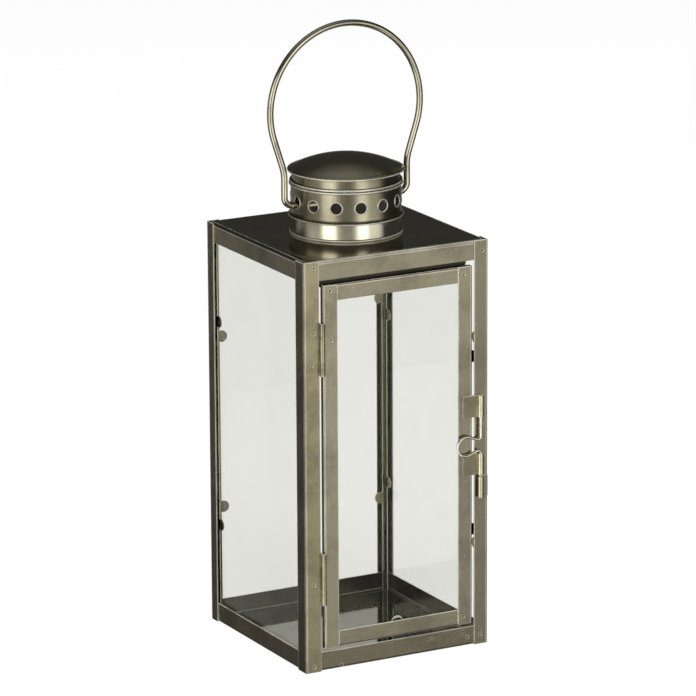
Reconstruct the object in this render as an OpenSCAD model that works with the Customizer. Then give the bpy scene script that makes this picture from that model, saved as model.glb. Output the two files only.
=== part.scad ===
// Candle lantern: a square glazed case of folded sheet metal with a hinged glass door,
// a round vented chimney under a domed cap, and a wire carrying handle.
// Millimetres. +Z up, door towards -Y, origin at the centre of the underside.

/* [Case] */
// Width of the case over the corner posts
body_w = 120; // [108:1:150]
// Depth of the case over the corner posts
body_d = 120; // [108:1:150]
// Height of the case, underside to roof
body_h = 243; // [235:1:300]
// Thickness of the sheet metal
sheet_t = 0.6; // [0.4:0.1:0.8]
// Height of the folded rims of the roof and base trays
rim_h = 11.5; // [9:0.5:15]
// Outside radius of the folds of the roof and base trays
fold_r = 1.5; // [1.2:0.1:2.5]

/* [Corner posts] */
// Leg of the front left corner post, beside the hinges
post_hinge_leg = 10; // [8:0.5:12]
// Leg of the front right corner post, behind the latch
post_latch_leg = 9; // [8:0.5:12]
// Leg of the two rear corner posts
post_rear_leg = 8; // [6:0.5:12]
// Outside radius of the fold of a corner post
post_fold_r = 0.9; // [0.9:0.1:1.4]

/* [Glazing] */
// Thickness of the glass
glass_t = 2; // [1.5:0.1:2.6]
// Play of a fixed pane on each side
pane_play = 0.3; // [0.2:0.05:0.5]
// Leg of the narrow strip that holds the panes in a corner
strip_leg = 2.5; // [2:0.25:4]
// Radius of the round ears of a strip
ear_r = 3.5; // [2.5:0.25:5]
// How far an ear reaches from the strip's outer corner
ear_reach = 7.5; // [6:0.25:9]
// Distance of the wide set ears from mid height
ear_wide = 62; // [55:1:75]
// Distance of the close set ears from mid height
ear_close = 52; // [40:1:54]

/* [Door] */
// Gap between the hinge post and the door
door_gap_hinge = 2.1; // [2:0.1:3]
// Gap between the door and the latch post
door_gap_latch = 1.5; // [1:0.1:3]
// Gap between the base rim and the door
door_gap_base = 2.2; // [1:0.1:4]
// Gap between the door and the roof rim
door_gap_roof = 2.9; // [1:0.1:4]
// How far the door stands in front of the posts
door_proud = 0.4; // [0.2:0.05:0.8]
// Width of the door frame seen from the front
frame_w = 9.3; // [8.5:0.1:13]
// How far the rails lie behind the stiles
rail_set = 0.2; // [0.1:0.05:0.3]
// Play of the door glass on each side
door_play = 0.1; // [0.1:0.05:0.2]
// Outside radius of the folds of the door frame
door_fold_r = 0.9; // [0.9:0.1:1.2]
// Width of the return behind a stile
stile_return = 7; // [5.5:0.25:8]
// Height of the return behind a rail
rail_return = 5; // [3:0.25:8]
// Distance of the glass edge from the hinge side of the door
glass_edge = 4.9; // [4.6:0.1:5.2]
// Radius of the round glass clip on the bottom rail
clip_r = 3.9; // [3:0.1:6]
// Height of the clip's centre above the bottom edge of the door
clip_z = 7.6; // [6:0.1:9]
// How far the stop laps behind the top of the door
stop_lap = 1.6; // [1:0.1:4]
// Distance of the stop's latch end from the latch edge of the door
stop_inset = 2; // [1:0.25:8]
// Width of the stop's flange under the roof
stop_flange = 5; // [3:0.5:10]
// Radius of the lower corners of the stop
stop_corner_r = 3; // [1:0.5:5]

/* [Hinges] */
// Outside diameter of a hinge barrel
hinge_d = 3; // [2.8:0.1:3.2]
// Diameter of a hinge pin
hinge_pin_d = 1.5; // [1.2:0.1:1.6]
// Radial clearance of a hinge pin in its barrel
hinge_fit = 0.03; // [0.02:0.01:0.06]
// Length of a hinge over all three knuckles
hinge_len = 30.8; // [26:0.5:40]
// Length of the middle knuckle
hinge_mid = 13.3; // [10:0.1:16]
// Clearance between two knuckles
hinge_end_play = 0.15; // [0.1:0.05:0.3]
// Height of the centre of the lower hinge above the base
hinge_low_z = 55.7; // [45:0.5:75]
// Distance of the centre of the upper hinge below the roof
hinge_drop = 51.3; // [45:0.5:70]
// How far the hinge axis stands in front of the door face
hinge_ahead = 1.3; // [1.2:0.05:1.6]
// Reach of a frame leaf behind the hinge post
leaf_reach = 9; // [5:0.5:9]

/* [Latch] */
// Diameter of the latch wire
bolt_d = 1.8; // [1.6:0.1:2]
// Radial clearance of the wire in its barrels
bolt_fit = 0.07; // [0.04:0.01:0.1]
// Thickness of the latch plates
plate_t = 0.8; // [0.7:0.05:0.95]
// Play between the latch wire and the latch plates
bolt_play = 0.2; // [0.15:0.05:0.3]
// How far the latch wire stands beyond the latch edge of the door
bolt_reach = 4.5; // [4:0.25:5.5]
// Width of a latch plate from its edge on the stile to the wire
plate_w = 11.3; // [8:0.1:13]
// Height of the upper latch plate
plate_upper_h = 13.1; // [10:0.1:16]
// Height of the lower latch plate
plate_lower_h = 12.7; // [10:0.1:16]
// Height of the keeper on the latch post
keeper_h = 12.7; // [11.5:0.1:18]
// Width of the keeper's leaf
keeper_w = 5.6; // [4:0.1:5.9]
// Gap between the lower plate and the keeper
keeper_gap = 1.1; // [0.4:0.1:3]
// How deep the wire goes into the keeper
bolt_depth = 10.9; // [7:0.1:11]
// Clearance of the lifted wire above the keeper
bolt_clear = 0.5; // [0.3:0.1:2]
// Height of the centre of the finger loop above the base
loop_z = 121.8; // [100:0.5:150]
// Distance of the loop's centre from the wire's axis
loop_out = 9.6; // [9:0.1:13]
// Radius of the loop's centre line
loop_r = 5.7; // [4.5:0.1:6.5]
// Slope of the straight sides of the loop
loop_slope = 20; // [10:1:30]
// Radius of the wire's bends beside the loop
loop_bend_r = 1.8; // [1.5:0.1:2.5]

/* [Chimney] */
// Outside radius of the collar
collar_r = 32.2; // [28:0.2:36]
// Height of the collar below the vent band
collar_h = 10; // [6:0.5:20]
// Width of the lip that clips the collar under the roof
collar_lip = 1.8; // [1:0.1:4]
// Radius of the round beads on the chimney
bead_r = 0.7; // [0.5:0.05:0.9]
// Play of the pieces of the chimney in one another
chimney_play = 0.2; // [0.1:0.05:0.3]
// Height of the vent band
band_h = 19.3; // [17:0.1:26]
// Flare at the foot of the vent band
flare = 1.6; // [0.8:0.1:2]
// Height of the flared foot
flare_h = 4; // [3:0.25:5]
// Number of vent holes
vent_count = 14; // [6:2:18]
// Radius of a vent hole
vent_r = 3.35; // [3:0.05:4]
// Width of the raised rim round a vent hole
vent_rim = 0.55; // [0.4:0.05:0.8]
// Height of the raised rim
vent_rise = 0.35; // [0.2:0.05:0.5]
// Height of the vent holes above the foot of the band
vent_z = 9.8; // [9.6:0.1:12]

/* [Cap] */
// Radius of the rolled edge of the cap
cap_r = 34; // [33:0.5:38]
// Radius of the rolled edge in section
cap_roll_r = 0.6; // [0.5:0.05:0.9]
// Rise of the dome above its edge
cap_rise = 8.3; // [5:0.1:16]
// Height of the cap's edge above the vent band
cap_lift = 7.6; // [7:0.1:14]

/* [Handle] */
// Diameter of the handle wire
bail_d = 3.8; // [3:0.1:4.2]
// Radius of the arch, on the wire's centre line
bail_r = 48.8; // [46:0.2:56]
// Height of the top of the handle above its pivot
bail_h = 103; // [98:0.5:125]
// Lean of the straight part of a leg
bail_lean = 18; // [12:1:24]
// Radius of the outward bend of a leg
bail_bend_r = 25; // [10:1:30]
// Radius of the inward bend at the foot of a leg
bail_foot_r = 5; // [4:0.25:6]
// Clearance between the cap and a leg
bail_gap = 4.2; // [2:0.1:6]
// Radial play of the wire above the edge of its vent hole
bail_play = 0.25; // [0.2:0.05:0.4]
// Length of wire inside the chimney wall
bail_tail = 15; // [8:0.5:18]

/* [Hidden] */
$fn = 64;

// Colours of the finishes
bronze = [0.50, 0.47, 0.38];
dark_bronze = [0.30, 0.29, 0.24];
brass = [0.66, 0.60, 0.42];
nickel = [0.72, 0.70, 0.64];
clear = [0.90, 0.93, 0.90, 0.35];

// A hair of air between two pieces of one assembly
hair = 0.02;
// Air between a moving piece and what it stops on
stop_air = 0.3;
// Swell of a wire where a straight runs into a bend
weld = 0.02;

// Depth at which a square edge settles into the inside curve of a fold
function settle(r, play) =
  r - sqrt(pow(r - sheet_t, 2) - pow(max(0, r - sheet_t - play), 2)) + hair;

// Planes of the walls, from the outside inwards
wall_x = body_w / 2;
wall_y = body_d / 2;
tray_in = sheet_t;
pane_in = 2 * sheet_t + pane_play;
strip_in = pane_in + glass_t + pane_play;

// Door planes
door_x0 = -wall_x + post_hinge_leg + door_gap_hinge;
door_x1 = wall_x - post_latch_leg - door_gap_latch;
door_z0 = rim_h + door_gap_base;
door_z1 = body_h - rim_h - door_gap_roof;
door_y0 = -wall_y - door_proud;
door_t = 2 * sheet_t + rail_set + 2 * door_play + glass_t;
door_y1 = door_y0 + door_t;
door_w = door_x1 - door_x0;
door_h = door_z1 - door_z0;

// Hinge axis, in the middle of the gap
hinge_x = door_x0 - door_gap_hinge / 2;
hinge_y = door_y0 - hinge_ahead;
hinge_high_z = body_h - hinge_drop;
hinge_bore_r = hinge_pin_d / 2 + hinge_fit;

// Latch axis and heights
bolt_r = bolt_d / 2;
bolt_x = door_x1 + bolt_reach;
bolt_y = door_y0 - plate_t - bolt_play - bolt_r;
bolt_bore_r = bolt_r + bolt_fit;
barrel_r = bolt_bore_r + plate_t;
loop_x = bolt_x - loop_out;
loop_side = (loop_out - loop_bend_r - (loop_bend_r + loop_r) * sin(loop_slope)) / cos(loop_slope);
loop_half = (loop_r + loop_bend_r) * cos(loop_slope) - loop_side * sin(loop_slope);
bolt_travel = bolt_depth + bolt_clear;
lower_top = loop_z - loop_half - 0.15;
upper_foot = loop_z + loop_half + bolt_travel + 0.06;
keeper_top = lower_top - plate_lower_h - keeper_gap;
bolt_foot = keeper_top - bolt_depth;

// Chimney heights and radii
band_z0 = body_h + collar_h;
band_z1 = band_z0 + band_h;
band_r = collar_r - chimney_play;
neck_r = band_r - sheet_t - chimney_play;
collar_lip_r = collar_r + collar_lip;
skirt_r = band_r - sheet_t - chimney_play / 2;
vent_zc = band_z0 + vent_z;
neck_top = vent_zc - vent_r - 0.95;
skirt_foot = band_z1 - 2;
skirt_bead_r = bead_r + 0.2;

// Cap: dome through its edge and its top
cap_edge = cap_r - cap_roll_r;
cap_z = band_z1 + cap_lift;
dome_r = (pow(cap_edge, 2) + pow(cap_rise, 2)) / (2 * cap_rise);
dome_z = cap_z + cap_rise - dome_r;
skirt_top = dome_z + sqrt(pow(dome_r - sheet_t, 2) - pow(skirt_r, 2)) - chimney_play / 2;

// Handle: pivot, legs and arch
bail_wire_r = bail_d / 2;
bail_z = vent_zc - (vent_r - bail_wire_r - bail_play);
bail_x = cap_r + bail_gap + bail_wire_r;
arch_z = bail_z + bail_h - bail_r;
leg_rise = bail_x + bail_bend_r * (1 - cos(bail_lean));
leg_side = (bail_r * cos(bail_lean) - leg_rise) / sin(bail_lean);
leg_top = arch_z - bail_r * sin(bail_lean) - leg_side * cos(bail_lean)
  - bail_bend_r * sin(bail_lean);
tail_x = band_r - sheet_t - bail_tail + 0.6;

// ---- Shared shapes ----

// Quarter of a folded sheet: inside corner of the square from the origin to (r, r)
module fold_quarter(r) {
  intersection() {
    translate([r, r]) difference() {
      circle(r = r);
      circle(r = r - sheet_t);
    }
    square([r, r]);
  }
}

// Sheet folded once, outside corner at the origin, legs along +X and +Y
module angle_section(leg, r) {
  translate([r, 0]) square([leg - r, sheet_t]);
  translate([0, r]) square([sheet_t, leg - r]);
  fold_quarter(r);
}

// Sheet folded into a channel: face along +X at y = 0, web at x = 0, return at y = depth
module channel_section(face, back, depth, r) {
  translate([r, 0]) square([face - r, sheet_t]);
  translate([0, r]) square([sheet_t, depth - 2 * r]);
  translate([r, depth - sheet_t]) square([back - r, sheet_t]);
  fold_quarter(r);
  translate([0, depth]) mirror([0, 1]) fold_quarter(r);
}

// Moves children drawn in a corner at the origin to the corner of a w by d rectangle
module at_corner(sx, sy, w, d) {
  translate([sx * w / 2, sy * d / 2, 0])
    mirror([sx > 0 ? 1 : 0, 0, 0])
      mirror([0, sy > 0 ? 1 : 0, 0])
        children();
}

// Square tray, floor down, with rounded folds and corners
module tray(w, d, h, r) {
  translate([-w / 2 + r, -d / 2 + r, 0]) cube([w - 2 * r, d - 2 * r, sheet_t]);
  for (s = [-1, 1]) {
    translate([s * (w / 2 - r), 0, 0]) rotate([90, 0, 0])
      linear_extrude(d - 2 * r, center = true) rim_section(s, h, r);
    translate([0, s * (d / 2 - r), 0]) rotate([90, 0, 90])
      linear_extrude(w - 2 * r, center = true) rim_section(s, h, r);
  }
  for (a = [0 : 90 : 270]) {
    sx = a < 45 || a > 225 ? 1 : -1;
    sy = a < 135 ? 1 : -1;
    translate([sx * (w / 2 - r), sy * (d / 2 - r), 0]) rotate([0, 0, a])
      rotate_extrude(angle = 90) rim_section(1, h, r);
  }
}

// Section of a tray's rim: fold starts at x = 0 and the rim stands at s * r
module rim_section(s, h, r) {
  mirror([s < 0 ? 1 : 0, 0]) {
    intersection() {
      translate([0, r]) difference() {
        circle(r = r);
        circle(r = r - sheet_t);
      }
      square([r, r]);
    }
    translate([r - sheet_t, r]) square([sheet_t, h - r]);
  }
}

// Ring of round section about the Z axis
module bead(ring_r, z, r) {
  translate([0, 0, z]) rotate_extrude($fn = 128) translate([ring_r, 0]) circle(r = r, $fn = 32);
}

// Straight wire in the XZ plane from (x, z), heading measured from +X
module wire_line(x, z, heading, len, r) {
  translate([x, 0, z]) rotate([0, 90 - heading, 0]) cylinder(r = r, h = len, $fn = 32);
}

// Joint of two stretches of wire
module wire_joint(x, z, r) {
  translate([x, 0, z]) sphere(r = r + weld, $fn = 32);
}

// Bent wire in the XZ plane about (x, z), from angle a0 through sweep
module wire_arc(x, z, bend_r, a0, sweep, r) {
  translate([x, 0, z]) rotate([90, 0, 0]) rotate([0, 0, a0])
    rotate_extrude(angle = sweep, $fn = 128) translate([bend_r, 0]) circle(r = r, $fn = 32);
}

// ---- Case ----

module base_tray() {
  color(bronze) tray(body_w - 2 * tray_in, body_d - 2 * tray_in, rim_h, fold_r);
}

module roof_tray() {
  color(dark_bronze) difference() {
    translate([0, 0, body_h]) mirror([0, 0, 1])
      tray(body_w - 2 * tray_in, body_d - 2 * tray_in, rim_h, fold_r);
    translate([0, 0, body_h - 2]) cylinder(r = collar_r + chimney_play, h = 4, $fn = 128);
  }
}

module post(sx, sy, leg) {
  color(bronze) at_corner(sx, sy, body_w, body_d)
    linear_extrude(body_h) angle_section(leg, post_fold_r);
}

// Corner strip with two ears on each leg; along_x and along_y set their spread
module strip(sx, sy, along_x, along_y) {
  ear_x = ear_reach - ear_r;
  color(dark_bronze) at_corner(sx, sy, body_w - 2 * strip_in, body_d - 2 * strip_in) {
    translate([0, 0, sheet_t]) linear_extrude(body_h - 2 * sheet_t)
      angle_section(strip_leg, post_fold_r);
    for (s = [-1, 1]) {
      intersection() {
        translate([ear_x, 0, body_h / 2 + s * along_x]) rotate([-90, 0, 0])
          cylinder(r = ear_r, h = sheet_t);
        translate([strip_leg - 0.6, -1, 0]) cube([ear_reach, 4, body_h]);
      }
      intersection() {
        translate([0, ear_x, body_h / 2 + s * along_y]) rotate([0, 90, 0])
          cylinder(r = ear_r, h = sheet_t);
        translate([-1, strip_leg - 0.6, 0]) cube([4, ear_reach, body_h]);
      }
    }
  }
}

module pane(x0, y0, w, d) {
  foot = settle(fold_r, pane_play);
  color(clear) translate([x0, y0, foot]) cube([w, d, body_h - 2 * foot - pane_play]);
}

module pane_left() {
  pane(-wall_x + pane_in, -wall_y + strip_in, glass_t, body_d - 2 * strip_in);
}

module pane_right() {
  pane(wall_x - pane_in - glass_t, -wall_y + strip_in, glass_t, body_d - 2 * strip_in);
}

module pane_rear() {
  pane(-wall_x + strip_in, wall_y - pane_in - glass_t, body_w - 2 * strip_in, glass_t);
}

// Angle under the roof that the top of the door closes against
module door_stop() {
  x0 = -wall_x + post_hinge_leg;
  x1 = door_x1 - stop_inset;
  z0 = door_z1 - stop_lap;
  top = body_h - sheet_t;
  color(dark_bronze) translate([0, door_y1 + stop_air, 0]) {
    translate([x0 + stop_corner_r, 0, z0])
      cube([x1 - x0 - 2 * stop_corner_r, sheet_t, stop_corner_r]);
    translate([x0, 0, z0 + stop_corner_r]) cube([x1 - x0, sheet_t, top - z0 - stop_corner_r]);
    translate([x0, 0, top - sheet_t]) cube([x1 - x0, stop_flange, sheet_t]);
    for (s = [0, 1]) {
      intersection() {
        translate([s * (x1 - stop_corner_r) + (1 - s) * (x0 + stop_corner_r), 0, z0 + stop_corner_r])
          rotate([-90, 0, 0]) cylinder(r = stop_corner_r, h = sheet_t);
        translate([s * (x1 - stop_corner_r) + (1 - s) * x0, 0, z0])
          cube([stop_corner_r, sheet_t, stop_corner_r]);
      }
    }
  }
}

// ---- Chimney ----

module chimney_collar() {
  cone_z = band_z0 + flare_h * 0.4;
  in_r = collar_r - sheet_t;
  in_neck = neck_r - sheet_t;
  color(dark_bronze) {
    rotate_extrude($fn = 128) polygon([
      [in_r, body_h - 2 * sheet_t],
      [collar_lip_r, body_h - 2 * sheet_t],
      [collar_lip_r, body_h - sheet_t],
      [collar_r, body_h - sheet_t],
      [collar_r, cone_z],
      [neck_r, cone_z + 1.4],
      [neck_r, neck_top],
      [in_neck, neck_top],
      [in_neck, cone_z + 1.4],
      [in_r, cone_z]
    ]);
    bead(collar_r + 0.1, body_h + bead_r + hair, bead_r);
  }
}

module vent_band() {
  in_r = band_r - sheet_t;
  color(bronze) difference() {
    union() {
      rotate_extrude($fn = 128) polygon([
        [in_r + flare, band_z0],
        [band_r + flare, band_z0],
        [band_r, band_z0 + flare_h],
        [band_r, band_z1],
        [in_r, band_z1],
        [in_r, band_z0 + flare_h]
      ]);
      bead(band_r + bead_r - 0.3, band_z1 - bead_r, bead_r);
      for (i = [0 : vent_count - 1]) {
        rotate([0, 0, i * 360 / vent_count]) translate([in_r + sheet_t / 4, 0, vent_zc])
          rotate([0, 90, 0]) cylinder(r = vent_r + vent_rim, h = sheet_t * 0.75 + vent_rise, $fn = 32);
      }
    }
    for (i = [0 : vent_count - 1]) {
      rotate([0, 0, i * 360 / vent_count]) translate([band_r - 6, 0, vent_zc])
        rotate([0, 90, 0]) cylinder(r = vent_r, h = 12, $fn = 32);
    }
  }
}

module cap_skirt() {
  color(bronze) {
    difference() {
      translate([0, 0, skirt_foot]) cylinder(r = skirt_r, h = skirt_top - skirt_foot, $fn = 128);
      translate([0, 0, skirt_foot - 1])
        cylinder(r = skirt_r - sheet_t, h = skirt_top - skirt_foot + 2, $fn = 128);
    }
    bead(skirt_r + skirt_bead_r - 0.3, band_z1 + skirt_bead_r + hair, skirt_bead_r);
  }
}

module cap() {
  color(dark_bronze) {
    intersection() {
      translate([0, 0, dome_z]) difference() {
        sphere(r = dome_r, $fn = 256);
        sphere(r = dome_r - sheet_t, $fn = 256);
      }
      translate([0, 0, cap_z - 5]) cylinder(r = cap_edge, h = cap_rise + 10, $fn = 128);
    }
    bead(cap_edge, cap_z - sheet_t / 2, cap_roll_r);
  }
}

// ---- Hinges ----

// Barrel of one knuckle about the hinge axis
module knuckle(z0, len) {
  translate([hinge_x, hinge_y, z0]) cylinder(r = hinge_d / 2, h = len, $fn = 48);
}

// Hole for the pin, longer than the hinge
module pin_hole(zc) {
  translate([hinge_x, hinge_y, zc - hinge_len]) cylinder(r = hinge_bore_r, h = 2 * hinge_len, $fn = 48);
}

// Leaf behind the hinge post, with the two outer knuckles
module hinge_leaf_frame(zc) {
  knuckle_len = (hinge_len - hinge_mid) / 2 - hinge_end_play;
  leaf_y = -wall_y + sheet_t;
  color(brass) difference() {
    union() {
      translate([hinge_x - leaf_reach, leaf_y, zc - hinge_len / 2])
        cube([leaf_reach, sheet_t, hinge_len]);
      for (z0 = [zc - hinge_len / 2, zc + hinge_len / 2 - knuckle_len]) {
        knuckle(z0, knuckle_len);
        translate([hinge_x - sheet_t, hinge_y, z0])
          cube([sheet_t, leaf_y + sheet_t - hinge_y, knuckle_len]);
      }
    }
    pin_hole(zc);
  }
}

// Leaf in the channel of the stile, with the middle knuckle
module hinge_leaf_door(zc) {
  leaf_y = door_y0 + sheet_t;
  color(brass) difference() {
    union() {
      translate([hinge_x, leaf_y, zc - hinge_mid / 2])
        cube([door_x0 + glass_edge - 0.3 - hinge_x, sheet_t, hinge_mid]);
      knuckle(zc - hinge_mid / 2, hinge_mid);
      translate([hinge_x, hinge_y, zc - hinge_mid / 2])
        cube([sheet_t, leaf_y + sheet_t - hinge_y, hinge_mid]);
    }
    pin_hole(zc);
  }
}

module hinge_pin(zc) {
  color(nickel) translate([hinge_x, hinge_y, zc - hinge_len / 2 - 0.2])
    cylinder(r = hinge_pin_d / 2, h = hinge_len + 0.4, $fn = 48);
}

// ---- Door ----

module door_stile_hinge() {
  color(bronze) difference() {
    translate([door_x0, door_y0, door_z0]) linear_extrude(door_h)
      channel_section(frame_w, stile_return, door_t, door_fold_r);
    for (zc = [hinge_low_z, hinge_high_z]) {
      translate([door_x0 - 1, door_y0 + sheet_t, zc - hinge_mid / 2 - 0.1])
        cube([1 + door_fold_r, sheet_t + 0.1, hinge_mid + 0.2]);
    }
  }
}

module door_stile_latch() {
  color(bronze) translate([door_x1, door_y0, door_z0]) linear_extrude(door_h)
    mirror([1, 0]) channel_section(frame_w, stile_return, door_t, door_fold_r);
}

// Rail of the door frame, web down, with tongues in the channels of the stiles
module door_rail() {
  depth = door_t - rail_set;
  len = door_w - 2 * frame_w;
  translate([door_x0 + frame_w, door_y0 + rail_set, 0]) rotate([90, 0, 90]) linear_extrude(len)
    rotate(90) mirror([0, 1]) channel_section(frame_w, rail_return, depth, door_fold_r);
  translate([door_x0 + door_fold_r, door_y0 + sheet_t, 0])
    cube([door_w - 2 * door_fold_r, door_t - 2 * sheet_t, sheet_t]);
}

module door_rail_bottom() {
  color(bronze) {
    translate([0, 0, door_z0]) door_rail();
    intersection() {
      translate([(door_x0 + door_x1) / 2, door_y1 - sheet_t, door_z0 + clip_z])
        rotate([-90, 0, 0]) cylinder(r = clip_r, h = sheet_t);
      translate([door_x0, door_y1 - 2, door_z0 + rail_return - 0.6]) cube([door_w, 4, 4 * clip_r]);
    }
  }
}

module door_rail_top() {
  color(bronze) translate([0, 0, door_z1]) mirror([0, 0, 1]) door_rail();
}

module door_glass() {
  seat = settle(door_fold_r, door_play);
  x0 = door_x0 + glass_edge;
  x1 = door_x1 - sheet_t - pane_play;
  color(clear) translate([x0, door_y0 + rail_set + sheet_t + door_play, door_z0 + seat])
    cube([x1 - x0, glass_t, door_h - 2 * seat - pane_play]);
}

// ---- Latch ----

// Plate with a rolled barrel for the latch wire; side is the direction of its leaf
module latch_plate(z0, h, leaf_w, leaf_y, side) {
  difference() {
    union() {
      translate([bolt_x - (side < 0 ? leaf_w : 0), leaf_y, z0]) cube([leaf_w, plate_t, h]);
      translate([bolt_x, bolt_y, z0]) cylinder(r = barrel_r, h = h, $fn = 48);
    }
    translate([bolt_x, bolt_y, z0 - 1]) cylinder(r = bolt_bore_r, h = h + 2, $fn = 48);
  }
}

module latch_plate_upper() {
  color(brass) latch_plate(upper_foot, plate_upper_h, plate_w, door_y0 - plate_t, -1);
}

module latch_plate_lower() {
  color(brass) latch_plate(lower_top - plate_lower_h, plate_lower_h, plate_w, door_y0 - plate_t, -1);
}

module latch_keeper() {
  color(brass) latch_plate(keeper_top - keeper_h, keeper_h, keeper_w, -wall_y - plate_t, 1);
}

// Wire that slides in both plates, with a finger loop between them
module latch_bolt() {
  bend_x = bolt_x - loop_bend_r;
  turn = 90 + loop_slope;
  tip_x = bend_x + loop_bend_r * cos(turn);
  tip_z = loop_bend_r * sin(turn);
  color(brass) translate([0, bolt_y, 0]) {
    wire_line(bolt_x, bolt_foot, 90, loop_z - loop_half - bolt_foot, bolt_r);
    wire_line(bolt_x, loop_z + loop_half, 90, upper_foot + plate_upper_h - loop_z - loop_half, bolt_r);
    wire_arc(bend_x, loop_z - loop_half, loop_bend_r, 0, turn, bolt_r);
    wire_arc(bend_x, loop_z + loop_half, loop_bend_r, -turn, turn, bolt_r);
    wire_line(tip_x, loop_z - loop_half + tip_z, 180 + loop_slope, loop_side, bolt_r);
    wire_line(tip_x, loop_z + loop_half - tip_z, 180 - loop_slope, loop_side, bolt_r);
    wire_arc(loop_x, loop_z, loop_r, 90 - loop_slope, 180 + 2 * loop_slope, bolt_r);
    for (s = [-1, 1]) {
      wire_joint(bolt_x, loop_z + s * loop_half, bolt_r);
      wire_joint(tip_x, loop_z + s * (loop_half - tip_z), bolt_r);
      wire_joint(loop_x + loop_r * sin(loop_slope), loop_z + s * loop_r * cos(loop_slope), bolt_r);
    }
  }
}

// ---- Handle ----

module bail_leg() {
  lean_x = bail_x + bail_bend_r;
  tip_x = lean_x - bail_bend_r * cos(bail_lean);
  tip_z = leg_top + bail_bend_r * sin(bail_lean);
  wire_line(tail_x, bail_z, 0, bail_x - bail_foot_r - tail_x, bail_wire_r);
  wire_arc(bail_x - bail_foot_r, bail_z + bail_foot_r, bail_foot_r, -90, 90, bail_wire_r);
  wire_line(bail_x, bail_z + bail_foot_r, 90, leg_top - bail_z - bail_foot_r, bail_wire_r);
  wire_arc(lean_x, leg_top, bail_bend_r, 180 - bail_lean, bail_lean, bail_wire_r);
  wire_line(tip_x, tip_z, 90 - bail_lean, leg_side, bail_wire_r);
  wire_joint(bail_x - bail_foot_r, bail_z, bail_wire_r);
  wire_joint(bail_x, bail_z + bail_foot_r, bail_wire_r);
  wire_joint(bail_x, leg_top, bail_wire_r);
  wire_joint(tip_x, tip_z, bail_wire_r);
  wire_joint(bail_r * cos(bail_lean), arch_z - bail_r * sin(bail_lean), bail_wire_r);
}

module bail() {
  color(nickel) {
    wire_arc(0, arch_z, bail_r, -bail_lean, 180 + 2 * bail_lean, bail_wire_r);
    bail_leg();
    mirror([1, 0, 0]) bail_leg();
  }
}

roof_tray();
base_tray();
post(-1, -1, post_hinge_leg);  // post_front_left
post(1, -1, post_latch_leg);  // post_front_right
post(-1, 1, post_rear_leg);  // post_rear_left
post(1, 1, post_rear_leg);  // post_rear_right
strip(-1, -1, ear_wide, ear_close);  // strip_front_left
strip(1, -1, ear_close, ear_wide);  // strip_front_right
strip(-1, 1, ear_close, ear_wide);  // strip_rear_left
strip(1, 1, ear_wide, ear_close);  // strip_rear_right
pane_left();
pane_right();
pane_rear();
door_stop();
chimney_collar();
vent_band();
cap_skirt();
cap();
hinge_leaf_frame(hinge_high_z);  // hinge_leaf_frame_upper
hinge_leaf_frame(hinge_low_z);  // hinge_leaf_frame_lower
hinge_pin(hinge_high_z);  // hinge_pin_upper
hinge_pin(hinge_low_z);  // hinge_pin_lower
latch_keeper();
door_stile_hinge();
door_stile_latch();
door_rail_top();
door_rail_bottom();
door_glass();
hinge_leaf_door(hinge_high_z);  // hinge_leaf_door_upper
hinge_leaf_door(hinge_low_z);  // hinge_leaf_door_lower
latch_plate_upper();
latch_plate_lower();
latch_bolt();
bail();
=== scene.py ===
"""Dresses a candle lantern of folded antique bronze sheet, glass and wire.

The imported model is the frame. Sheet pieces get softened edges and worn cut
edges, every surface gets a node-based finish, and a small studio with a pale
floor is set round the lantern, with the camera where the photograph was taken.
"""

import logging
import math
from dataclasses import dataclass, replace
from enum import Enum, IntEnum
from typing import Any, Callable, Optional, Sequence, Union

import bpy
from mathutils import Matrix, Vector
from mathutils.bvhtree import BVHTree


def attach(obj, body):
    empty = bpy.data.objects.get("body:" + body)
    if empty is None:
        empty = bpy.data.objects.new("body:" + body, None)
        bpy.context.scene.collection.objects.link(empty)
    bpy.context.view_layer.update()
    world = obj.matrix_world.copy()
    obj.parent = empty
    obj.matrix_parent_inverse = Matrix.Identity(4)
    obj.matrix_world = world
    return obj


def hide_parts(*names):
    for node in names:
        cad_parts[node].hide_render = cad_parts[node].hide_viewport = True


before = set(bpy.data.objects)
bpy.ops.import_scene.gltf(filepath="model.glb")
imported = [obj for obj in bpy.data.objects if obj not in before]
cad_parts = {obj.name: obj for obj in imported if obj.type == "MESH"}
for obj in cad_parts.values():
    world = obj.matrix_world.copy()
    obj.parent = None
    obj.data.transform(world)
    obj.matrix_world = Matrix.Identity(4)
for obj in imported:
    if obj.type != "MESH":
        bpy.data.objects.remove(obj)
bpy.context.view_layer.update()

MM = 0.001
SPIN_STEPS = 168
log = logging.getLogger("lantern")

Colour = tuple[float, float, float]
Spots = Sequence[tuple[float, float]]
Value = Union["Shade", float]
Piece = bpy.types.Object
Material = bpy.types.Material


class Region(IntEnum):
    """Material slots of a sheet metal piece, in the order they are added."""

    FACE = 0
    EDGE = 1
    CUT = 2
    INNER = 3
    LEVEL = 4


class Axis(Enum):
    """Direction of the fine marks of the metal, as a stretch of their pattern."""

    X = (0.06, 1.0, 1.0)
    Z = (1.0, 1.0, 0.06)
    NONE = (1.0, 1.0, 1.0)


# Shader maths


def _operator(operation: str) -> Callable[["Shade", Value], "Shade"]:
    """Makes an operator of Shade from an operation of the Math node."""

    def joined(self: "Shade", other: Value) -> "Shade":
        """Joins this value with another by one Math node."""
        return self.tree.node("ShaderNodeMath", {0: self, 1: other}, {"operation": operation})

    return joined


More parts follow.
